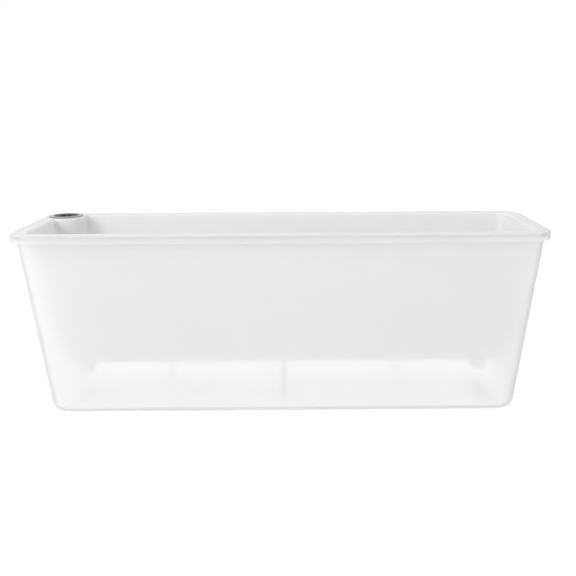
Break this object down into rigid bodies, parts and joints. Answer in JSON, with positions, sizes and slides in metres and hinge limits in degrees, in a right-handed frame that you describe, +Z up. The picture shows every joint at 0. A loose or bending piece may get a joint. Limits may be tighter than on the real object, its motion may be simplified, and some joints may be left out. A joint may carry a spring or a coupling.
{
  "type": "self watering planter",
  "caption": "Long tapered trough planter: frosted water tank with a lift-out planting liner, wicks through its floor and a stoppered filler mouth with a float gauge in one back corner.",
  "frame": {"origin": "centre of the tank's underside, on the surface it stands on", "axes": "+X along the trough, +Y towards the back where the filler mouth is, +Z up"},
  "size_m": [0.5, 0.15, 0.1793],
  "materials": {
    "tank": "frosted translucent polypropylene",
    "liner": "white moulded polypropylene, satin",
    "collar": "grey moulded plastic, satin",
    "stopper": "dark grey elastomer",
    "lens": "clear acrylic window",
    "seal": "black rubber",
    "gauge": "clear polystyrene guide tube",
    "float": "white closed-cell foam",
    "rod": "drawn white plastic rod",
    "indicator": "red moulded plastic",
    "plug": "milky silicone",
    "wick": "braided cotton cord",
    "grommet": "pale soft plastic"
  },
  "bodies": {
    "tank": {"water_tank": "tank"},
    "liner": {"planting_liner": "liner", "filler_collar": "collar", "gauge_tube": "gauge", "gauge_stop": "gauge", "wick_left": "wick", "wick_centre": "wick", "wick_right": "wick", "wick_grommet_left": "grommet", "wick_grommet_centre": "grommet", "wick_grommet_right": "grommet"},
    "float": {"gauge_float": "float", "gauge_rod": "rod", "indicator_tip": "indicator"},
    "stopper": {"filler_stopper": "stopper", "stopper_lens": "lens", "stopper_seal": "seal"},
    "plug": {"overflow_plug": "plug"}
  },
  "joints": [
    {"name": "liner_lift", "type": "slide", "parent": "tank", "child": "liner", "axis": [0, 0, 1], "range_m": [0, 0.16]},
    {"name": "float_rise", "type": "slide", "parent": "liner", "child": "float", "axis": [-0.1025, 0.1025, 0.9894], "range_m": [0, 0.034]},
    {"name": "stopper_pull", "type": "slide", "parent": "liner", "child": "stopper", "axis": [0, 0, 1], "range_m": [0, 0.03]},
    {"name": "plug_pull", "type": "slide", "parent": "tank", "child": "plug", "axis": [0, 0.9935, -0.1142], "range_m": [0, 0.02]}
  ]
}
